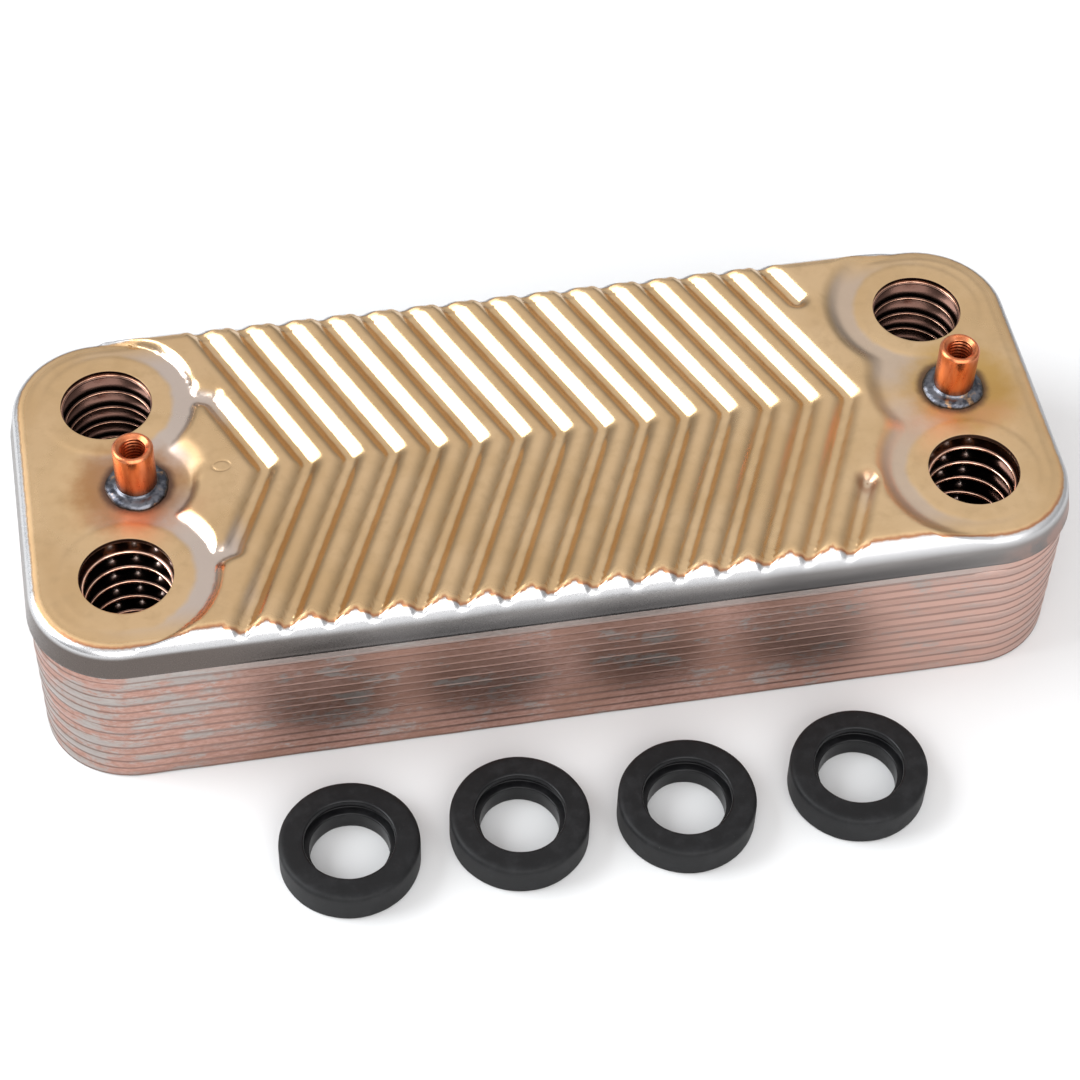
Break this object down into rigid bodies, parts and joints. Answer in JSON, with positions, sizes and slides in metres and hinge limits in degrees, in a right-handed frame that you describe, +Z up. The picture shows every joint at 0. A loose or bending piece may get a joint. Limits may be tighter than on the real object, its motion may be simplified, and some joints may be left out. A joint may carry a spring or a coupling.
{
  "type": "brazed plate heat exchanger",
  "caption": "Brazed stack of nested herringbone plates with round ports and threaded studs on its front face, and loose rubber port seals, for passing heat between two water circuits.",
  "frame": {"origin": "centre of the plate pack's base, in the plane that it rests on", "axes": "+Z up out of the ports, +X along the length towards the chevrons' points, +Y towards the rear ports"},
  "size_m": [0.1904, 0.112, 0.0476],
  "materials": {
    "front_steel": "heat tinted rolled stainless sheet",
    "plate_steel": "stainless sheet with a thin copper wash",
    "braze_copper": "bright solidified copper",
    "stud_copper": "satin copper plate",
    "weld_steel": "dark glossy weld bead",
    "seal_rubber": "matte, lightly dusted"
  },
  "bodies": {
    "exchanger": {"front_plate": "front_steel", "channel_plate_01": "plate_steel", "channel_plate_02": "plate_steel", "channel_plate_03": "plate_steel", "channel_plate_04": "plate_steel", "channel_plate_05": "plate_steel", "channel_plate_06": "plate_steel", "channel_plate_07": "plate_steel", "channel_plate_08": "plate_steel", "channel_plate_09": "plate_steel", "channel_plate_10": "plate_steel", "channel_plate_11": "plate_steel", "channel_plate_12": "plate_steel", "channel_plate_13": "plate_steel", "back_plate": "plate_steel", "braze_seam_01": "braze_copper", "braze_seam_02": "braze_copper", "braze_seam_03": "braze_copper", "braze_seam_04": "braze_copper", "braze_seam_05": "braze_copper", "braze_seam_06": "braze_copper", "braze_seam_07": "braze_copper", "braze_seam_08": "braze_copper", "braze_seam_09": "braze_copper", "braze_seam_10": "braze_copper", "braze_seam_11": "braze_copper", "braze_seam_12": "braze_copper", "braze_seam_13": "braze_copper", "braze_seam_14": "braze_copper", "stud_left": "stud_copper", "stud_right": "stud_copper", "stud_weld_left": "weld_steel", "stud_weld_right": "weld_steel"},
    "seal_1": {"port_seal_1": "seal_rubber"},
    "seal_2": {"port_seal_2": "seal_rubber"},
    "seal_3": {"port_seal_3": "seal_rubber"},
    "seal_4": {"port_seal_4": "seal_rubber"}
  },
  "joints": [
    {"name": "seal_1_lift", "type": "slide", "parent": "exchanger", "child": "seal_1", "axis": [0, 0, 1], "range_m": [0, 0.05]},
    {"name": "seal_2_lift", "type": "slide", "parent": "exchanger", "child": "seal_2", "axis": [0, 0, 1], "range_m": [0, 0.05]},
    {"name": "seal_3_lift", "type": "slide", "parent": "exchanger", "child": "seal_3", "axis": [0, 0, 1], "range_m": [0, 0.05]},
    {"name": "seal_4_lift", "type": "slide", "parent": "exchanger", "child": "seal_4", "axis": [0, 0, 1], "range_m": [0, 0.05]}
  ]
}
